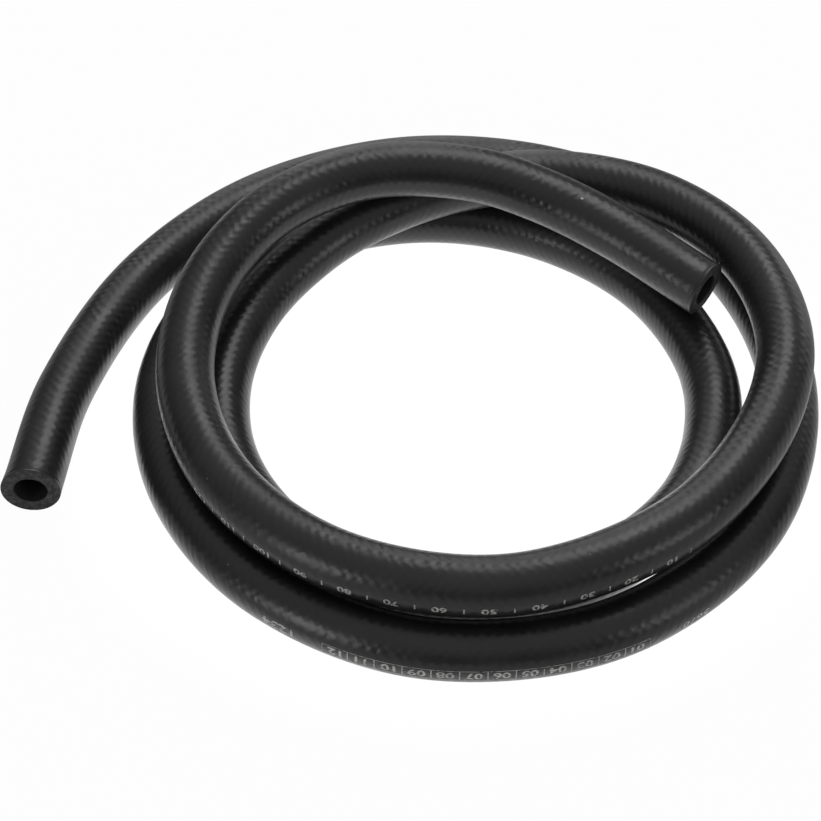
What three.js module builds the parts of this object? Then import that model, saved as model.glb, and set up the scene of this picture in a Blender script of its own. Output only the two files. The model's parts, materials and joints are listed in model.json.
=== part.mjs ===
// A length of rubber fuel hose lying in a loose coil, as one solid with an open bore.
// Millimetres, +Z up. The origin is on the floor, under the middle of the coil.
// +X is the coil's right side and +Y its back, as seen from its front.

import * as THREE from 'three';

// Driving dimensions of the hose
const BORE_DIAMETER = 8;
const WALL = 3;

// Radius of the tightest turn's centre line, which lane 0 of the route follows
const COIL_RADIUS = 46;

// How finely the round section and the route are divided
const OUTER_SIDES = 18;
const BORE_SIDES = 12;
const STEP_LENGTH = 12;

// The hose's colour and finish
const RUBBER_COLOUR = 0x1f2021;
const RUBBER_ROUGHNESS = 0.55;

// The route of the centre line, from the cut end at the left front to the cut end at the right back.
// Each row holds a bearing in degrees, a lane and a level, chosen by hand:
// bearings run left 0, back 90, right 180, front 270, and go on past 360 from turn to turn;
// the lane counts hose diameters outwards from COIL_RADIUS;
// the level counts hose diameters above lying on the floor.
const ROUTE = [
  [-20.7, 3.75, 0.00], [0, 2.91, 0.00], [30, 2.46, 0.00], [60, 2.50, 0.00],
  [90, 2.73, 0.00], [120, 3.01, 0.00], [150, 3.19, 0.00], [180, 3.23, 0.00],
  [210, 3.21, 0.00], [240, 2.99, 0.00], [270, 2.53, 0.00], [300, 1.93, 0.00],
  [330, 1.47, 0.00], [360, 1.20, 0.00], [390, 1.08, 0.00], [420, 1.08, 0.00],
  [450, 1.15, 0.00], [480, 1.31, 0.00], [510, 1.59, 0.00], [540, 1.87, 0.00],
  [570, 1.99, 0.00], [600, 1.82, 0.00], [630, 1.39, 0.00], [660, 0.88, 0.00],
  [690, 0.43, 0.02], [720, 0.14, 0.13], [750, 0.04, 0.36], [780, 0.18, 0.64],
  [800, 0.45, 0.84], [820, 0.96, 1.00], [840, 1.70, 1.09], [860, 2.43, 1.15],
  [880, 2.92, 1.17], [900, 3.04, 1.16], [920, 2.86, 1.12], [945, 2.61, 1.06],
  [975, 2.25, 1.00], [1005, 1.71, 0.97], [1035, 1.21, 1.02], [1065, 0.82, 1.20],
  [1095, 0.55, 1.50], [1125, 0.38, 1.81], [1155, 0.30, 1.95], [1185, 0.40, 1.83],
  [1205, 0.64, 1.60], [1225, 1.07, 1.35], [1246, 1.95, 1.12],
];

// Sizes that follow from the driving dimensions
const OUTSIDE_DIAMETER = BORE_DIAMETER + 2 * WALL;
const OUTSIDE_RADIUS = OUTSIDE_DIAMETER / 2;
const BORE_RADIUS = BORE_DIAMETER / 2;

// The point of the centre line that one row of the route stands for
function routePoint([bearing, lane, level]) {
  const angle = THREE.MathUtils.degToRad(bearing);
  const radius = COIL_RADIUS + lane * OUTSIDE_DIAMETER;
  const height = OUTSIDE_RADIUS + level * OUTSIDE_DIAMETER;
  return new THREE.Vector3(-radius * Math.cos(angle), radius * Math.sin(angle), height);
}

// The smooth centre line through all points of the route
function centreLine() {
  const line = new THREE.CatmullRomCurve3(ROUTE.map(routePoint), false, 'centripetal');
  line.arcLengthDivisions = ROUTE.length * 40;
  return line;
}

// Corners of a regular polygon round the hose's axis
function ring(radius, sides) {
  const corners = [];
  for (let i = 0; i < sides; i += 1) {
    const angle = (2 * Math.PI * i) / sides;
    corners.push(new THREE.Vector2(radius * Math.cos(angle), radius * Math.sin(angle)));
  }
  return corners;
}

// The hose's section: the round outside with the bore as a hole
function hoseSection() {
  const section = new THREE.Shape(ring(OUTSIDE_RADIUS, OUTER_SIDES));
  section.holes.push(new THREE.Path(ring(BORE_RADIUS, BORE_SIDES)));
  return section;
}

// The hose itself: the section carried along the centre line, cut square at both ends
function makeHose() {
  const line = centreLine();
  const geometry = new THREE.ExtrudeGeometry(hoseSection(), {
    steps: Math.round(line.getLength() / STEP_LENGTH),
    bevelEnabled: false,
    extrudePath: line,
  });
  const rubber = new THREE.MeshStandardMaterial({
    color: RUBBER_COLOUR,
    roughness: RUBBER_ROUGHNESS,
    metalness: 0,
  });
  const mesh = new THREE.Mesh(geometry, rubber);
  mesh.name = 'hose';
  return mesh;
}

// Moves the hose so that it lies on the floor with the origin under the middle of its box
function standOnFloor(mesh) {
  const box = new THREE.Box3().setFromObject(mesh);
  const middle = box.getCenter(new THREE.Vector3());
  mesh.position.set(-middle.x, -middle.y, -box.min.z);
}

const hose = makeHose();
standOnFloor(hose);

const coil = new THREE.Group();
coil.add(hose);

export default coil;
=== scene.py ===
# %% [markdown]
# # A rubber fuel hose in a loose coil
#
# The real object is one length of hose: a rubber tube, a braid of yarn round it and a rubber cover,
# cured into a single piece and cut off nearly square at both ends.
# The imported CAD model gives its true size and place, so this script loads that model first.

# %% Load the frame
import json
import math
import bmesh
import bpy
import numpy as np
from mathutils import Matrix, Vector

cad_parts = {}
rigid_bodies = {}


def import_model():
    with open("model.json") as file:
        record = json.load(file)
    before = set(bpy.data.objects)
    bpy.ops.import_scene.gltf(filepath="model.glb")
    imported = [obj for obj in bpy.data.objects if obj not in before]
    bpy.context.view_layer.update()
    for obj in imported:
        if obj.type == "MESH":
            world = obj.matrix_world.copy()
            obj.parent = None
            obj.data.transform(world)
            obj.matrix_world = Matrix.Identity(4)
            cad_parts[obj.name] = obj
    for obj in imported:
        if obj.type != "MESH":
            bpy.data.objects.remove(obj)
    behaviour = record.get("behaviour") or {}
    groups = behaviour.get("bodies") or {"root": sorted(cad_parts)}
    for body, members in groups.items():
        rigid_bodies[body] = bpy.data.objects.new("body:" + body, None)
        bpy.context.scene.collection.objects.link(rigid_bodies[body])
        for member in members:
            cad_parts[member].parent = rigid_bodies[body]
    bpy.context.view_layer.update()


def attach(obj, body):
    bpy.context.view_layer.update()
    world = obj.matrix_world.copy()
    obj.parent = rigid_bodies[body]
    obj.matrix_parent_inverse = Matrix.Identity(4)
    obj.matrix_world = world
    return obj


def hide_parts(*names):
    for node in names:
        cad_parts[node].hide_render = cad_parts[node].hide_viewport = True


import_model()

# %% [markdown]
# ## The sizes of the hose
#
# A hose is described by its bore and its wall. Everything round it follows from those two.
# The unit is the metre, as everywhere in Blender, so millimetres are written through one factor.

# %% Driving sizes
MM = 0.001
BORE_RADIUS = 4 * MM
WALL = 3 * MM
OUTSIDE_RADIUS = BORE_RADIUS + WALL
OUTSIDE_DIAMETER = 2 * OUTSIDE_RADIUS
COIL_RADIUS = 46 * MM
print("outside diameter:", round(OUTSIDE_DIAMETER / MM, 1), "mm")

# %% [markdown]
# ## The camera
#
# The camera stands in front of the coil and looks down on it at the photograph's angle.
# A long lens keeps the coil's far side nearly as large as its near side.

# %% Camera
CAMERA_TILT = math.radians(46.68)
CAMERA_DISTANCE = 591.2 * MM
CAMERA_TARGET = Vector((-1.49 * MM, -3.00 * MM, 0.0))
SENSOR_WIDTH = 36.0
FOCAL_LENGTH = 104.2


def make_camera():
    data = bpy.data.cameras.new("camera")
    data.sensor_width = SENSOR_WIDTH
    data.lens = FOCAL_LENGTH
    camera = bpy.data.objects.new("camera", data)
    bpy.context.collection.objects.link(camera)
    back = Vector((0.0, -math.cos(CAMERA_TILT), math.sin(CAMERA_TILT)))
    camera.location = CAMERA_TARGET + back * CAMERA_DISTANCE
    camera.rotation_euler = (math.pi / 2 - CAMERA_TILT, 0.0, 0.0)
    return camera


camera = make_camera()
bpy.context.scene.camera = camera
print("camera at", [round(c, 3) for c in camera.location])

# %% [markdown]
# ## The route of the hose
#
# A loose coil isn't a tidy spiral: each turn has its own width and lies where the others let it.
# So the route is a list of points, the same as in the CAD source.
# Its lanes and end bearings were not chosen by hand: a least-squares fit of the hose's edges to the
# photograph gave them, rounded, with a few changed a little, and it gave the camera's numbers too.
# The other bearings are round numbers, and the levels were listed after an earlier fit.
# Each row gives a bearing in degrees (left 0, back 90, right 180, front 270, and on from turn to turn),
# a lane, which counts hose diameters outwards from the tightest turn,
# and a level, which counts hose diameters above lying on the floor.

# %% Route points
ROUTE = [
    (-20.7, 3.75, 0.00), (0, 2.91, 0.00), (30, 2.46, 0.00), (60, 2.50, 0.00),
    (90, 2.73, 0.00), (120, 3.01, 0.00), (150, 3.19, 0.00), (180, 3.23, 0.00),
    (210, 3.21, 0.00), (240, 2.99, 0.00), (270, 2.53, 0.00), (300, 1.93, 0.00),
    (330, 1.47, 0.00), (360, 1.20, 0.00), (390, 1.08, 0.00), (420, 1.08, 0.00),
    (450, 1.15, 0.00), (480, 1.31, 0.00), (510, 1.59, 0.00), (540, 1.87, 0.00),
    (570, 1.99, 0.00), (600, 1.82, 0.00), (630, 1.39, 0.00), (660, 0.88, 0.00),
    (690, 0.43, 0.02), (720, 0.14, 0.13), (750, 0.04, 0.36), (780, 0.18, 0.64),
    (800, 0.45, 0.84), (820, 0.96, 1.00), (840, 1.70, 1.09), (860, 2.43, 1.15),
    (880, 2.92, 1.17), (900, 3.04, 1.16), (920, 2.86, 1.12), (945, 2.61, 1.06),
    (975, 2.25, 1.00), (1005, 1.71, 0.97), (1035, 1.21, 1.02), (1065, 0.82, 1.20),
    (1095, 0.55, 1.50), (1125, 0.38, 1.81), (1155, 0.30, 1.95), (1185, 0.40, 1.83),
    (1205, 0.64, 1.60), (1225, 1.07, 1.35), (1246, 1.95, 1.12),
]


def route_point(bearing, lane, level):
    angle = math.radians(bearing)
    radius = COIL_RADIUS + lane * OUTSIDE_DIAMETER
    height = OUTSIDE_RADIUS + level * OUTSIDE_DIAMETER
    return (-radius * math.cos(angle), radius * math.sin(angle), height)


route_points = np.array([route_point(*row) for row in ROUTE])
print("route points:", len(route_points))

# %% [markdown]
# ## A smooth centre line
#
# A centripetal Catmull-Rom curve passes through every point without loops or overshoot.
# The CAD source uses the same curve, so both models lie in the same place.
# The curve is then sampled every half millimetre, because the hose is laid out by its length.

# %% Centre line
SAMPLE_STEP = 0.5 * MM
SAMPLES_PER_SPAN = 200


def smooth_curve(points):
    before = 2 * points[0] - points[1]
    after = 2 * points[-1] - points[-2]
    padded = np.vstack([before, points, after])
    p0, p1, p2, p3 = padded[:-3], padded[1:-2], padded[2:-1], padded[3:]
    gap = [np.sqrt(np.linalg.norm(b - a, axis=1))[:, None] for a, b in ((p0, p1), (p1, p2), (p2, p3))]
    leave = ((p1 - p0) / gap[0] - (p2 - p0) / (gap[0] + gap[1]) + (p2 - p1) / gap[1]) * gap[1]
    arrive = ((p2 - p1) / gap[1] - (p3 - p1) / (gap[1] + gap[2]) + (p3 - p2) / gap[2]) * gap[1]
    t = (np.arange(SAMPLES_PER_SPAN) / SAMPLES_PER_SPAN)[None, :, None]
    a, b = p1[:, None], leave[:, None]
    c = (3 * (p2 - p1) - 2 * leave - arrive)[:, None]
    d = (2 * (p1 - p2) + leave + arrive)[:, None]
    curve = a + b * t + c * t ** 2 + d * t ** 3
    return np.vstack([curve.reshape(-1, 3), points[-1:]])


def even_steps(curve, step):
    run = np.concatenate([[0.0], np.cumsum(np.linalg.norm(np.diff(curve, axis=0), axis=1))])
    count = int(round(run[-1] / step))
    stations = np.linspace(0.0, run[-1], count + 1)
    even = np.stack([np.interp(stations, run, curve[:, axis]) for axis in range(3)], axis=1)
    return stations, even


stations, centre = even_steps(smooth_curve(route_points), SAMPLE_STEP)
HOSE_LENGTH = float(stations[-1])
print("hose length:", round(HOSE_LENGTH, 4), "m")

# %% [markdown]
# ## Directions along the hose
#
# At each station the hose needs three directions: forwards, up and out to the left.
# It never stands upright, so the world's up direction is a steady guide for all of them.
# The left side is the outside of the coil, because the hose runs clockwise seen from above.
#
# The coil then moves a little, so that the origin is under the middle of its box, as in the CAD model.

# %% Directions and place
COIL_MOVE = np.array([0.509, -0.997, 0.018]) * MM

forward = np.gradient(centre, axis=0)
forward /= np.linalg.norm(forward, axis=1)[:, None]
left = np.cross(np.array([0.0, 0.0, 1.0]), forward)
left /= np.linalg.norm(left, axis=1)[:, None]
upward = np.cross(forward, left)
centre += COIL_MOVE


def lay(points):
    """Puts points of a straight hose along +X, with +Y to its left, on the route."""
    along = points[:, 0].clip(0.0, HOSE_LENGTH)
    beyond = points[:, 0] - along
    out = np.empty_like(points)
    for axis in range(3):
        out[:, axis] = np.interp(along, stations, centre[:, axis])
        out[:, axis] += beyond * np.interp(along, stations, forward[:, axis])
        out[:, axis] += points[:, 1] * np.interp(along, stations, left[:, axis])
        out[:, axis] += points[:, 2] * np.interp(along, stations, upward[:, axis])
    return out


def lay_mesh(mesh):
    flat = np.empty(len(mesh.vertices) * 3)
    mesh.vertices.foreach_get("co", flat)
    mesh.vertices.foreach_set("co", lay(flat.reshape(-1, 3)).ravel())
    mesh.update()


print("first end at", (centre[0] / MM).round(1), "and last end at", (centre[-1] / MM).round(1), "mm")

# %% [markdown]
# ## Node helpers
#
# Every finish below is built from nodes. A few short helpers keep those cells readable:
# one adds a node and wires its inputs, one does a step of arithmetic and one blends between two values.

# %% Node helpers


def new_material(name):
    material = bpy.data.materials.new(name)
    material.use_nodes = True
    tree = material.node_tree
    tree.nodes.clear()
    return material, tree


def add_node(tree, kind, values=None, **settings):
    node = tree.nodes.new(kind)
    for key, value in settings.items():
        setattr(node, key, value)
    for key, value in (values or {}).items():
        if isinstance(value, bpy.types.NodeSocket):
            tree.links.new(value, node.inputs[key])
        else:
            node.inputs[key].default_value = value
    return node


def calculate(tree, operation, *values):
    node = tree.nodes.new("ShaderNodeMath")
    node.operation = operation
    for index, value in enumerate(values):
        if isinstance(value, bpy.types.NodeSocket):
            tree.links.new(value, node.inputs[index])
        else:
            node.inputs[index].default_value = value
    return node.outputs[0]


def between(tree, value, low, high, to_low=0.0, to_high=1.0):
    node = add_node(tree, "ShaderNodeMapRange", {
        "Value": value, "From Min": low, "From Max": high, "To Min": to_low, "To Max": to_high,
    }, interpolation_type="SMOOTHSTEP")
    return node.outputs["Result"]


# %% [markdown]
# ## The rubber cover
#
# Under the black cover lies a braid, and the rubber shrinks onto it as it cures.
# So the cover carries soft bumps, one over each crossing of the strands, staggered like bricks.
# They show mostly where light glances off the hose, as a zigzag along each highlight.
#
# The pattern follows the hose, so it reads the hose's own UV map: U is metres along, V is turns round.
# Twelve strands run each way, and 2.56 mm of hose takes them from one crossing to the next.
# That sets the strands at 55 degrees to the hose, the angle at which a braid neither grows nor shrinks
# under pressure. Two families of waves stand for them, and their sum has a bump at each crossing.

# %% Cover material
BRAID_STRANDS = 12
BRAID_PITCH = 2.56 * MM
BRAID_HEIGHT = 0.062 * MM
BRAID_DRIFT = 0.35
BRAID_WEAKEST = 0.35
BRAID_STRONGEST = 1.25
HOSE_MAP = "along_and_round"


def hose_coordinates(tree):
    uv = add_node(tree, "ShaderNodeUVMap", uv_map=HOSE_MAP)
    parts = add_node(tree, "ShaderNodeSeparateXYZ", {"Vector": uv.outputs["UV"]})
    return parts.outputs["X"], parts.outputs["Y"]


def object_noise(tree, scale, detail):
    place = add_node(tree, "ShaderNodeTexCoord").outputs["Object"]
    noise = add_node(tree, "ShaderNodeTexNoise", {"Vector": place, "Scale": scale, "Detail": detail})
    return noise.outputs["Fac"]


def wave(tree, phase):
    turn = calculate(tree, "MULTIPLY", phase, 2 * math.pi)
    return calculate(tree, "MULTIPLY_ADD", calculate(tree, "COSINE", turn), 0.5, 0.5)


def braid_height(tree):
    along, turns = hose_coordinates(tree)
    drift = calculate(tree, "MULTIPLY_ADD", object_noise(tree, 230.0, 1.0), 2 * BRAID_DRIFT, -BRAID_DRIFT)
    steps = calculate(tree, "ADD", calculate(tree, "DIVIDE", along, BRAID_PITCH), drift)
    strands = calculate(tree, "MULTIPLY", turns, float(BRAID_STRANDS))
    rising = wave(tree, calculate(tree, "ADD", strands, steps))
    falling = wave(tree, calculate(tree, "SUBTRACT", strands, steps))
    crossing = calculate(tree, "MULTIPLY", calculate(tree, "ADD", rising, falling), 0.5)
    uneven = between(tree, object_noise(tree, 260.0, 3.0), 0.3, 0.7, BRAID_WEAKEST, BRAID_STRONGEST)
    return calculate(tree, "MULTIPLY", crossing, uneven)


# %% [markdown]
# One small pale fleck sits on the cover near the last end.
# Its place is given by the hose's own map, and noise makes its edge ragged.

# %% Fleck
FLECK_STATION = 1519.0 * MM
FLECK_TURN = 0.961
FLECK_SIZE = 0.42 * MM
FLECK_RAGGED = 0.4 * MM


def fleck_share(tree):
    along, turns = hose_coordinates(tree)
    wide = calculate(tree, "SUBTRACT", along, FLECK_STATION)
    high = calculate(tree, "MULTIPLY", calculate(tree, "SUBTRACT", turns, FLECK_TURN),
                     2 * math.pi * OUTSIDE_RADIUS)
    distance = calculate(tree, "SQRT", calculate(tree, "ADD", calculate(tree, "POWER", wide, 2.0),
                                                 calculate(tree, "POWER", high, 2.0)))
    ragged = calculate(tree, "MULTIPLY_ADD", object_noise(tree, 2400.0, 1.0),
                       2 * FLECK_RAGGED, -FLECK_RAGGED)
    return between(tree, calculate(tree, "ADD", distance, ragged), FLECK_SIZE, 0.5 * FLECK_SIZE)


# %% [markdown]
# The cover is nearly black, a little cloudy, and carries a fine grain on top of the braid.
# A few grey specks of dust lie on it, each in a cell of a Voronoi pattern that chance has picked.

# %% Cover
COVER_DARK = (0.0085, 0.0086, 0.0089, 1.0)
COVER_LIGHT = (0.0125, 0.0125, 0.0128, 1.0)
DUST_GREY = (0.10, 0.10, 0.10, 1.0)
FLECK_WHITE = (0.45, 0.45, 0.44, 1.0)
DUST_CELLS = 210.0
DUST_RADIUS = 0.045
DUST_FREE_SHARE = 0.95


def make_cover():
    material, tree = new_material("rubber_cover")
    height = braid_height(tree)
    braid = add_node(tree, "ShaderNodeBump", {"Strength": 1.0, "Distance": BRAID_HEIGHT, "Height": height})
    grain = add_node(tree, "ShaderNodeBump", {
        "Strength": 0.35, "Distance": 0.02 * MM, "Height": object_noise(tree, 2600.0, 3.0),
        "Normal": braid.outputs["Normal"],
    })
    cloudy = between(tree, object_noise(tree, 45.0, 4.0), 0.3, 0.7)
    tone = add_node(tree, "ShaderNodeMix", {
        "Factor": cloudy, "A": COVER_DARK, "B": COVER_LIGHT,
    }, data_type="RGBA")
    dust = add_node(tree, "ShaderNodeTexVoronoi", {
        "Vector": add_node(tree, "ShaderNodeTexCoord").outputs["Object"], "Scale": DUST_CELLS,
    })
    speck = calculate(tree, "LESS_THAN", dust.outputs["Distance"], DUST_RADIUS)
    chance = add_node(tree, "ShaderNodeSeparateColor", {"Color": dust.outputs["Color"]}).outputs["Red"]
    chosen = calculate(tree, "GREATER_THAN", chance, DUST_FREE_SHARE)
    dusty = add_node(tree, "ShaderNodeMix", {
        "Factor": calculate(tree, "MULTIPLY", speck, chosen), "A": tone.outputs[2], "B": DUST_GREY,
    }, data_type="RGBA")
    flecked = add_node(tree, "ShaderNodeMix", {
        "Factor": fleck_share(tree), "A": dusty.outputs[2], "B": FLECK_WHITE,
    }, data_type="RGBA")
    rough = between(tree, object_noise(tree, 90.0, 3.0), 0.3, 0.7, 0.30, 0.40)
    shader = add_node(tree, "ShaderNodeBsdfPrincipled", {
        "Base Color": flecked.outputs[2], "Roughness": rough, "Normal": grain.outputs["Normal"],
    })
    add_node(tree, "ShaderNodeOutputMaterial", {"Surface": shader.outputs["BSDF"]})
    return material


cover_rubber = make_cover()
print("cover material nodes:", len(cover_rubber.node_tree.nodes))

# %% [markdown]
# ## The cut ends
#
# A knife leaves the rubber greyer and rougher than the cover, with fine marks round the ring.
# The braid shows there as a ring of pale yarn ends, about halfway through the wall.
# On the cut faces the UV map holds the distance from the axis and the turns round it,
# so a ring and its yarn ends are easy to place.

# %% Cut face material
YARN_RING_RADIUS = 5.7 * MM
YARN_RING_HALF = 0.22 * MM
YARN_ENDS = 48
YARN_GREY = (0.22, 0.22, 0.21, 1.0)
CUT_DARK = (0.012, 0.012, 0.013, 1.0)
CUT_LIGHT = (0.060, 0.060, 0.061, 1.0)
CUT_ROUGHNESS = 0.72
KNIFE_MARK_STEP = 0.42 * MM
KNIFE_MARK_DEPTH = 0.12 * MM


def make_cut_face():
    material, tree = new_material("cut_rubber")
    radius, turns = hose_coordinates(tree)
    offset = calculate(tree, "ABSOLUTE", calculate(tree, "SUBTRACT", radius, YARN_RING_RADIUS))
    ring = between(tree, offset, YARN_RING_HALF, 0.4 * YARN_RING_HALF)
    ends = wave(tree, calculate(tree, "MULTIPLY", turns, float(YARN_ENDS)))
    patchy = between(tree, object_noise(tree, 1100.0, 1.0), 0.60, 0.74)
    yarn = calculate(tree, "MULTIPLY", calculate(tree, "MULTIPLY", ring, ends), patchy)
    marks = calculate(tree, "MULTIPLY_ADD", object_noise(tree, 700.0, 5.0), 0.6,
                      calculate(tree, "MULTIPLY", object_noise(tree, 2600.0, 3.0), 0.4))
    tone = add_node(tree, "ShaderNodeMix", {
        "Factor": between(tree, marks, 0.38, 0.62), "A": CUT_DARK, "B": CUT_LIGHT,
    }, data_type="RGBA")
    colour = add_node(tree, "ShaderNodeMix", {
        "Factor": yarn, "A": tone.outputs[2], "B": YARN_GREY,
    }, data_type="RGBA")
    uneven = calculate(tree, "MULTIPLY_ADD", object_noise(tree, 300.0, 2.0), 1.6, calculate(
        tree, "DIVIDE", radius, KNIFE_MARK_STEP))
    surface = calculate(tree, "MULTIPLY_ADD", wave(tree, uneven), 0.30, calculate(
        tree, "MULTIPLY", marks, 2.0))
    bump = add_node(tree, "ShaderNodeBump", {
        "Strength": 1.0, "Distance": KNIFE_MARK_DEPTH, "Height": surface,
    })
    shader = add_node(tree, "ShaderNodeBsdfPrincipled", {
        "Base Color": colour.outputs[2], "Roughness": CUT_ROUGHNESS, "Normal": bump.outputs["Normal"],
    })
    add_node(tree, "ShaderNodeOutputMaterial", {"Surface": shader.outputs["BSDF"]})
    return material


cut_rubber = make_cut_face()
print("cut face material nodes:", len(cut_rubber.node_tree.nodes))

# %% [markdown]
# ## The bore
#
# The inner tube is formed on a smooth mandrel, so the bore is smoother than the cover.
# Little light reaches it, and faint marks are all that a close look finds.

# %% Bore material
BORE_DARK = (0.018, 0.018, 0.018, 1.0)
BORE_LIGHT = (0.028, 0.028, 0.028, 1.0)


def make_bore():
    material, tree = new_material("bore_rubber")
    streaks = object_noise(tree, 500.0, 2.0)
    bump = add_node(tree, "ShaderNodeBump", {"Strength": 0.3, "Distance": 0.02 * MM, "Height": streaks})
    tone = add_node(tree, "ShaderNodeMix", {
        "Factor": streaks, "A": BORE_DARK, "B": BORE_LIGHT,
    }, data_type="RGBA")
    rough = between(tree, streaks, 0.3, 0.7, 0.36, 0.5)
    shader = add_node(tree, "ShaderNodeBsdfPrincipled", {
        "Base Color": tone.outputs[2], "Roughness": rough, "Normal": bump.outputs["Normal"],
    })
    add_node(tree, "ShaderNodeOutputMaterial", {"Surface": shader.outputs["BSDF"]})
    return material


bore_rubber = make_bore()
print("bore material nodes:", len(bore_rubber.node_tree.nodes))

# %% [markdown]
# ## A straight length of hose
#
# The hose could be a curve with a round bevel, but that gives no open bore and no cut faces.
# Instead a straight hose is made first, as on the mandrel: two circles bridged into the cut face,
# drawn out to the full length and closed by the far cut face.
# The rims are rounded a little. Rings of edges go close together near the ends, where the knife
# left its mark, and further apart in between, where the hose only has to bend.

# %% Straight hose
SIDES = 48
LENGTH_STEPS = 750
RIM_ROUNDING = 0.2 * MM
FACE_RINGS = 5
END_RINGS = (0.35, 0.5, 0.65, 0.8, 0.95, 1.15, 1.4, 1.7, 2.1, 2.6, 3.3, 4.3, 5.5, 7.0, 9.0, 11.0)


def is_across(edge):
    return abs(edge.verts[0].co.x - edge.verts[1].co.x) < 0.01 * MM


def is_long(edge):
    return abs(edge.verts[0].co.x - edge.verts[1].co.x) > HOSE_LENGTH / 2


def is_radial(edge):
    radii = [math.hypot(vert.co.y, vert.co.z) for vert in edge.verts]
    return is_across(edge) and abs(radii[0] - radii[1]) > WALL / 2


def rim_edges(bm):
    return [edge for edge in bm.edges if is_across(edge) and not is_radial(edge)]


def straight_hose():
    bm = bmesh.new()
    for radius in (OUTSIDE_RADIUS, BORE_RADIUS):
        bmesh.ops.create_circle(bm, segments=SIDES, radius=radius)
    bmesh.ops.rotate(bm, verts=bm.verts, matrix=Matrix.Rotation(math.pi / 2, 3, "Y"))
    bmesh.ops.bridge_loops(bm, edges=bm.edges[:])
    drawn = bmesh.ops.extrude_edge_only(bm, edges=[e for e in bm.edges if e.is_boundary])
    far = [item for item in drawn["geom"] if isinstance(item, bmesh.types.BMVert)]
    bmesh.ops.translate(bm, verts=far, vec=(HOSE_LENGTH, 0.0, 0.0))
    bmesh.ops.bridge_loops(bm, edges=[e for e in bm.edges if e.is_boundary])
    bmesh.ops.bevel(bm, geom=rim_edges(bm), offset=RIM_ROUNDING, segments=2, profile=0.5,
                    affect="EDGES", material=-1)
    return bm


def divide(bm):
    bmesh.ops.subdivide_edges(bm, edges=[e for e in bm.edges if is_radial(e)], cuts=FACE_RINGS)
    for place in END_RINGS:
        for x in (place * MM, HOSE_LENGTH - place * MM):
            bmesh.ops.bisect_plane(bm, geom=bm.verts[:] + bm.edges[:] + bm.faces[:],
                                   plane_co=(x, 0.0, 0.0), plane_no=(1.0, 0.0, 0.0))
    bmesh.ops.subdivide_edges(bm, edges=[e for e in bm.edges if is_long(e)], cuts=LENGTH_STEPS)
    bmesh.ops.recalc_face_normals(bm, faces=bm.faces[:])
    bm.normal_update()


hose_bm = straight_hose()
divide(hose_bm)
print("straight hose faces:", len(hose_bm.faces))

# %% [markdown]
# ## The map and the materials
#
# Each face gets its UV and its material while the hose is still straight,
# because along and round are plain X and angle there.
# On the cut faces U is the distance from the axis instead, so that marks there can go round.

# %% Map and material of each face
COVER, CUT, BORE = range(3)


def turn_of(point):
    return math.atan2(point.y, point.z) / (2 * math.pi) % 1.0


def kind_of(face):
    if abs(face.normal.x) > 0.5:
        return CUT
    middle = face.calc_center_median()
    return COVER if face.normal.y * middle.y + face.normal.z * middle.z > 0 else BORE


def map_faces(bm):
    layer = bm.loops.layers.uv.new(HOSE_MAP)
    for face in bm.faces:
        face.smooth = True
        face.material_index = kind_of(face)
        turns = [turn_of(loop.vert.co) for loop in face.loops]
        wraps = max(turns) - min(turns) > 0.5
        for loop, turn in zip(face.loops, turns):
            point = loop.vert.co
            first = math.hypot(point.y, point.z) if face.material_index == CUT else point.x
            loop[layer].uv = (first, turn + 1.0 if wraps and turn < 0.5 else turn)


map_faces(hose_bm)
kinds = [face.material_index for face in hose_bm.faces]
print("faces of cover, cut ends and bore:", [kinds.count(kind) for kind in (COVER, CUT, BORE)])

# %% [markdown]
# ## The knife's mark
#
# A blade presses the hose flat before it cuts through, and the rubber doesn't quite spring back.
# That leaves the end a little flared, with a narrow groove behind the rim.
# Both ends were also cut slightly askew, the front one more: its left side is the longer one.
# All three are small moves of the points near the ends. The floor keeps the flare flat underneath.

# %% Flare, groove and askew cut
FLARE = 0.12 * MM
FLARE_REACH = 1.9 * MM
GROOVE = 0.14 * MM
GROOVE_PLACE = 0.8 * MM
GROOVE_HALF = 0.22 * MM
ASKEW_FRONT = 0.14
ASKEW_BACK = 0.05
ASKEW_REACH = 12 * MM


def rim_change(from_end):
    flare = FLARE * math.exp(-(from_end / FLARE_REACH) ** 2)
    return flare - GROOVE * math.exp(-((from_end - GROOVE_PLACE) / GROOVE_HALF) ** 2)


def press_ends(bm):
    for vert in bm.verts:
        from_end = min(vert.co.x, HOSE_LENGTH - vert.co.x)
        radius = math.hypot(vert.co.y, vert.co.z)
        if from_end > ASKEW_REACH:
            continue
        depth = max(0.0, (radius - BORE_RADIUS) / WALL)
        scale = 1.0 + rim_change(from_end) * depth ** 2 / radius
        vert.co.y *= scale
        vert.co.z = max(vert.co.z * scale, -OUTSIDE_RADIUS)
        lean = ASKEW_FRONT if vert.co.x < HOSE_LENGTH / 2 else ASKEW_BACK
        vert.co.x -= lean * vert.co.y * (1.0 - from_end / ASKEW_REACH) ** 2


press_ends(hose_bm)
print("radius at the cut:", round((OUTSIDE_RADIUS + rim_change(0.0)) / MM, 2), "mm")

# %% [markdown]
# ## Lay the hose along its route
#
# The straight hose now becomes the coil: each point keeps its distance from the axis
# and moves to its station on the centre line.

# %% Laid hose


def finish_piece(bm, name, materials):
    mesh = bpy.data.meshes.new(name)
    bm.to_mesh(mesh)
    bm.free()
    for material in materials:
        mesh.materials.append(material)
    lay_mesh(mesh)
    piece = bpy.data.objects.new(name, mesh)
    bpy.context.collection.objects.link(piece)
    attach(piece, "root")
    return piece


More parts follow.
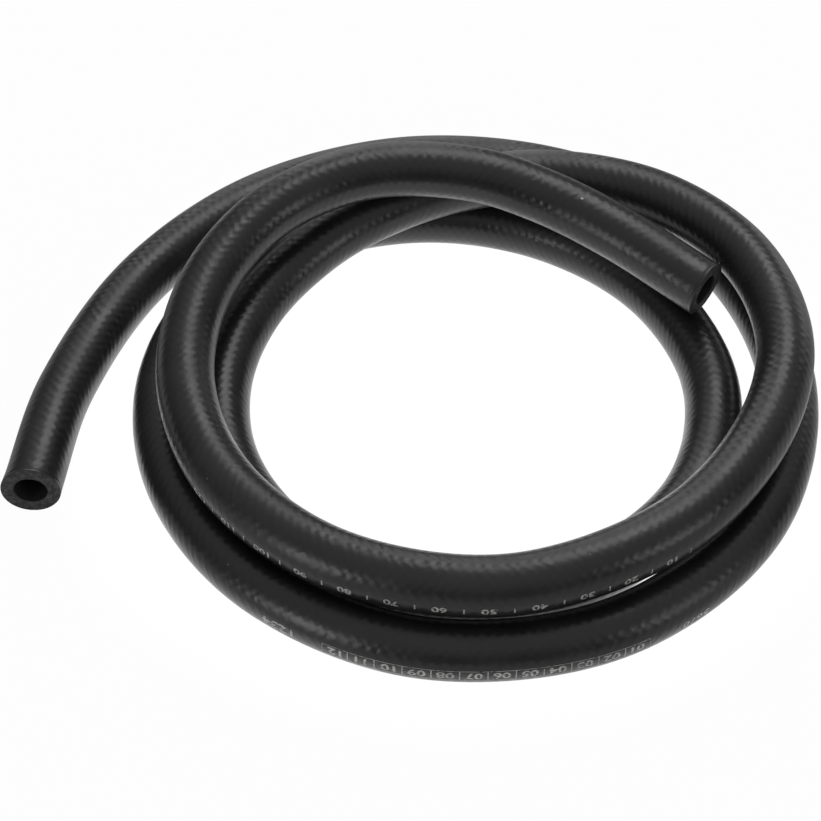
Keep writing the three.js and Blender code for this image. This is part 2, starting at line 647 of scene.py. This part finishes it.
laid_hose = finish_piece(hose_bm, "laid_hose", [cover_rubber, cut_rubber, bore_rubber])
laid_hose.data.set_sharp_from_angle(angle=math.radians(50))
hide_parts("hose")
print("hose triangles:", sum(len(p.vertices) - 2 for p in laid_hose.data.polygons))

# %% [markdown]
# ## The ink
#
# A printing wheel marks the hose with light grey ink, and handling wears it off again.
# The ink lies on the same bumps as the rubber, so it uses the braid's height too,
# and noise lets the rubber's own black show through where the ink has gone.

# %% Ink material
INK_GREY = (0.42, 0.42, 0.41, 1.0)
INK_WORN_OFF = (0.012, 0.012, 0.012, 1.0)


def make_ink():
    material, tree = new_material("grey_ink")
    wear = between(tree, object_noise(tree, 1500.0, 3.0), 0.30, 0.50)
    faded = between(tree, object_noise(tree, 180.0, 2.0), 0.25, 0.6, 0.6, 1.0)
    colour = add_node(tree, "ShaderNodeMix", {
        "Factor": calculate(tree, "MULTIPLY", wear, faded), "A": INK_WORN_OFF, "B": INK_GREY,
    }, data_type="RGBA")
    bump = add_node(tree, "ShaderNodeBump", {
        "Strength": 1.0, "Distance": BRAID_HEIGHT, "Height": braid_height(tree),
    })
    rough = between(tree, wear, 0.0, 1.0, 0.42, 0.6)
    shader = add_node(tree, "ShaderNodeBsdfPrincipled", {
        "Base Color": colour.outputs[2], "Roughness": rough, "Normal": bump.outputs["Normal"],
    })
    add_node(tree, "ShaderNodeOutputMaterial", {"Surface": shader.outputs["BSDF"]})
    return material


grey_ink = make_ink()
print("ink material nodes:", len(grey_ink.node_tree.nodes))

# %% [markdown]
# ## The print
#
# Along the coil's outer side runs a row of twelve numbered boxes, with plain digits before and after it.
# The top turn carries a plain length scale: strokes and numbers in turn, one every 5 mm.
#
# Text can't follow a hose by itself. It is made flat, turned into a mesh and cut by a grid of planes
# into pieces small enough to bend. Then each point's height on the line becomes an angle round the hose.

# %% Flat print
INK_THICKNESS = 0.02 * MM
INK_CLEARANCE = 0.015 * MM
BOX_COUNT = 12
BOX_WIDTH = 5.81 * MM
BOX_HEIGHT = 3.1 * MM
BOX_LINE = 0.32 * MM
LETTER_STRETCH = 1.3
LETTER_BOLDNESS = 0.028


def flat_words(words, height):
    curve = bpy.data.curves.new("words", "FONT")
    curve.body = words
    curve.offset = LETTER_BOLDNESS
    curve.resolution_u = 3
    helper = bpy.data.objects.new("words", curve)
    mesh = bpy.data.meshes.new_from_object(helper)
    bm = bmesh.new()
    bm.from_mesh(mesh)
    for block, data in ((bpy.data.objects, helper), (bpy.data.curves, curve), (bpy.data.meshes, mesh)):
        block.remove(data)
    xs, ys = ([vert.co[axis] for vert in bm.verts] for axis in (0, 1))
    scale = height / (max(ys) - min(ys))
    bmesh.ops.translate(bm, verts=bm.verts, vec=(-(max(xs) + min(xs)) / 2, -(max(ys) + min(ys)) / 2, 0.0))
    bmesh.ops.scale(bm, verts=bm.verts, vec=(scale * LETTER_STRETCH, scale, scale))
    return bm


def flat_boxes():
    bm = bmesh.new()
    grid = Matrix.Diagonal((BOX_COUNT * BOX_WIDTH / 2, BOX_HEIGHT / 2, 1.0, 1.0))
    bmesh.ops.create_grid(bm, x_segments=BOX_COUNT, y_segments=1, size=1.0, matrix=grid)
    inset = bmesh.ops.inset_individual(bm, faces=bm.faces[:], thickness=BOX_LINE / 2)
    rims = set(inset["faces"])
    bmesh.ops.delete(bm, geom=[face for face in bm.faces if face not in rims], context="FACES")
    return bm


def flat_stroke(height):
    bm = bmesh.new()
    bar = Matrix.Diagonal((BOX_LINE / 2, height / 2, 1.0, 1.0))
    bmesh.ops.create_grid(bm, x_segments=1, y_segments=1, size=1.0, matrix=bar)
    return bm


# %% Wrap the print round the hose
CUT_ROUND = 0.45 * MM
CUT_ALONG = 1.2 * MM


def cut_by_grid(bm):
    for axis, step in ((0, CUT_ALONG), (1, CUT_ROUND)):
        values = [vert.co[axis] for vert in bm.verts]
        low, reach = min(values), max(values) - min(values)
        count = int(reach / step)
        for index in range(1, count + 1):
            plane = [0.0, 0.0, 0.0]
            normal = [0.0, 0.0, 0.0]
            plane[axis] = low + index * reach / (count + 1)
            normal[axis] = 1.0
            bmesh.ops.bisect_plane(bm, geom=bm.verts[:] + bm.edges[:] + bm.faces[:],
                                   plane_co=plane, plane_no=normal)


def wrap(bm, station, bearing):
    cut_by_grid(bm)
    bmesh.ops.solidify(bm, geom=bm.faces[:], thickness=INK_THICKNESS)
    low = min(vert.co.z for vert in bm.verts)
    for vert in bm.verts:
        angle = math.radians(bearing) - vert.co.y / OUTSIDE_RADIUS
        radius = OUTSIDE_RADIUS + INK_CLEARANCE + vert.co.z - low
        vert.co = (station + vert.co.x, -math.sin(angle) * radius, math.cos(angle) * radius)
    bmesh.ops.recalc_face_normals(bm, faces=bm.faces[:])
    return bm


def join_print(parts):
    whole = bmesh.new()
    for part in parts:
        mesh = bpy.data.meshes.new("part")
        part.to_mesh(mesh)
        part.free()
        whole.from_mesh(mesh)
        bpy.data.meshes.remove(mesh)
    layer = whole.loops.layers.uv.new(HOSE_MAP)
    for face in whole.faces:
        for loop in face.loops:
            loop[layer].uv = (loop.vert.co.x, turn_of(loop.vert.co))
    return whole


# %% Lay out the print
BOX_ROW_MIDDLE = 428.8 * MM
BOX_ROW_BEARING = -91.5
BOX_DIGIT_HEIGHT = 2.2 * MM
SCALE_START = 1232 * MM
SCALE_BEARING = -93.5
SCALE_MARKS = 24
SCALE_STEP = 5
SCALE_DIGIT_HEIGHT = 1.9 * MM
SCALE_STROKE_HEIGHT = 1.6 * MM
# The plain digits before and after the row: words, height, station and bearing
LOOSE_DIGITS = [("1234", 2.5 * MM, 474.6 * MM, -91.0), ("5678", 2.2 * MM, 382.0 * MM, -94.0)]

print_parts = [wrap(flat_boxes(), BOX_ROW_MIDDLE, BOX_ROW_BEARING)]
for number in range(1, BOX_COUNT + 1):
    station = BOX_ROW_MIDDLE + (number - (BOX_COUNT + 1) / 2) * BOX_WIDTH
    print_parts.append(wrap(flat_words(f"{number:02d}", BOX_DIGIT_HEIGHT), station, BOX_ROW_BEARING))
for words, height, station, bearing in LOOSE_DIGITS:
    print_parts.append(wrap(flat_words(words, height), station, bearing))
for mark in range(SCALE_MARKS):
    station = SCALE_START + mark * SCALE_STEP * MM
    if mark % 2:
        shape = flat_words(str((mark + 1) * SCALE_STEP), SCALE_DIGIT_HEIGHT)
    else:
        shape = flat_stroke(SCALE_STROKE_HEIGHT)
    print_parts.append(wrap(shape, station, SCALE_BEARING))

hose_print = finish_piece(join_print(print_parts), "hose_print", [grey_ink])
print("print pieces:", len(print_parts), "faces:", len(hose_print.data.polygons))

# %% [markdown]
# ## The floor
#
# The hose lies on a white table that is lit so brightly that hardly any shadow is left on it.
# A camera set for the black hose sees the table burnt out to plain white.
# What the hose reflects is the table's diffuse shade plus a painted glow: a ring of emission, brightest
# close to the coil and dimmer further out.
# So the material gives the camera one look and the reflections another.

# %% Floor
FLOOR_SIZE = 3.0
FLOOR_WHITE = (0.60, 0.60, 0.60, 1.0)
# Strengths of the painted glow on the table: in the middle of the coil, under the coil, and the share of
# it left further out.
GLOW_IN_THE_COIL = 0.6
GLOW_UNDER_THE_COIL = 1.3
GLOW_SHARE_OUTSIDE = 0.12
GLOW_MIDDLE = (10 * MM, 0.0, 0.0)
CAMERA_SHARE = 0.97
WHITE_LIGHT = (1.0, 1.0, 1.0, 1.0)


def make_floor():
    material, tree = new_material("white_table_with_painted_glow")
    diffuse = add_node(tree, "ShaderNodeBsdfDiffuse", {"Color": FLOOR_WHITE})
    # Painted glow: emission in a ring round the coil, brightest under the hose, dimmer in the middle and
    # fading outside, for reflection rays only.
    place = add_node(tree, "ShaderNodeTexCoord").outputs["Object"]
    radius = add_node(tree, "ShaderNodeVectorMath", {0: place, 1: GLOW_MIDDLE},
                      operation="DISTANCE").outputs["Value"]
    inner = between(tree, radius, 20 * MM, 58 * MM, GLOW_IN_THE_COIL, GLOW_UNDER_THE_COIL)
    outer = between(tree, radius, 82 * MM, 108 * MM, 1.0, GLOW_SHARE_OUTSIDE)
    strength = calculate(tree, "MULTIPLY", inner, outer)
    glow = add_node(tree, "ShaderNodeEmission", {"Color": WHITE_LIGHT, "Strength": strength})
    lit = add_node(tree, "ShaderNodeAddShader", {0: diffuse.outputs[0], 1: glow.outputs[0]})
    plain = add_node(tree, "ShaderNodeEmission", {"Color": WHITE_LIGHT, "Strength": 1.0})
    seen = add_node(tree, "ShaderNodeLightPath").outputs["Is Camera Ray"]
    share = calculate(tree, "MULTIPLY", seen, CAMERA_SHARE)
    both = add_node(tree, "ShaderNodeMixShader", {0: share, 1: lit.outputs[0], 2: plain.outputs[0]})
    add_node(tree, "ShaderNodeOutputMaterial", {"Surface": both.outputs[0]})
    bm = bmesh.new()
    bmesh.ops.create_grid(bm, x_segments=1, y_segments=1, size=FLOOR_SIZE)
    mesh = bpy.data.meshes.new("floor")
    bm.to_mesh(mesh)
    bm.free()
    mesh.materials.append(material)
    floor = bpy.data.objects.new("floor", mesh)
    bpy.context.collection.objects.link(floor)
    return floor


floor = make_floor()
print("floor width:", 2 * FLOOR_SIZE, "m")

# %% [markdown]
# ## The light
#
# Soft panels stand where the highlights on the hose point to: a wide one behind the coil
# with a dimmer one to its right, one above it and two small ones at the front left and at the right.
# The room round them is dim near the horizon and brighter overhead.

# %% Lamps
# Each lamp has a compass direction (0 is behind the coil, 90 to its right), a height angle,
# a distance, a width, a height and a power.
LAMPS = {
    "lamp_behind": (-6, 20, 1.3, 0.64, 0.85, 2.2),
    "lamp_back_right": (42, 8, 1.2, 0.62, 0.46, 1.0),
    "lamp_above": (18, 57, 1.2, 0.50, 0.78, 3.6),
    "lamp_front_left": (-132, 12, 1.2, 0.44, 0.46, 2.6),
    "lamp_right": (120, 18, 1.2, 0.44, 0.42, 1.5),
}


def make_lamp(name, compass, tilt, distance, width, height, power):
    data = bpy.data.lights.new(name, "AREA")
    data.shape = "RECTANGLE"
    data.size = width
    data.size_y = height
    data.energy = power
    lamp = bpy.data.objects.new(name, data)
    bpy.context.collection.objects.link(lamp)
    turn, rise = math.radians(compass), math.radians(tilt)
    away = Vector((math.sin(turn) * math.cos(rise), math.cos(turn) * math.cos(rise), math.sin(rise)))
    lamp.location = away * distance
    lamp.rotation_euler = away.to_track_quat("Z", "Y").to_euler()
    lamp.visible_camera = False
    return lamp


for lamp_name, sizes in LAMPS.items():
    make_lamp(lamp_name, *sizes)
print("lamps:", len(LAMPS))

# %% Room
ROOM_HORIZON = 0.06
ROOM_TOP = 0.52


def make_room():
    world = bpy.data.worlds.new("studio_room")
    world.use_nodes = True
    tree = world.node_tree
    tree.nodes.clear()
    direction = add_node(tree, "ShaderNodeTexCoord").outputs["Generated"]
    height = add_node(tree, "ShaderNodeSeparateXYZ", {"Vector": direction}).outputs["Z"]
    level = between(tree, height, 0.10, 0.95, ROOM_HORIZON, ROOM_TOP)
    background = add_node(tree, "ShaderNodeBackground", {"Color": WHITE_LIGHT, "Strength": level})
    add_node(tree, "ShaderNodeOutputWorld", {"Surface": background.outputs[0]})
    bpy.context.scene.world = world


make_room()
print("room brightness from", ROOM_HORIZON, "to", ROOM_TOP)
bpy.context.scene.view_settings.view_transform = "Standard"
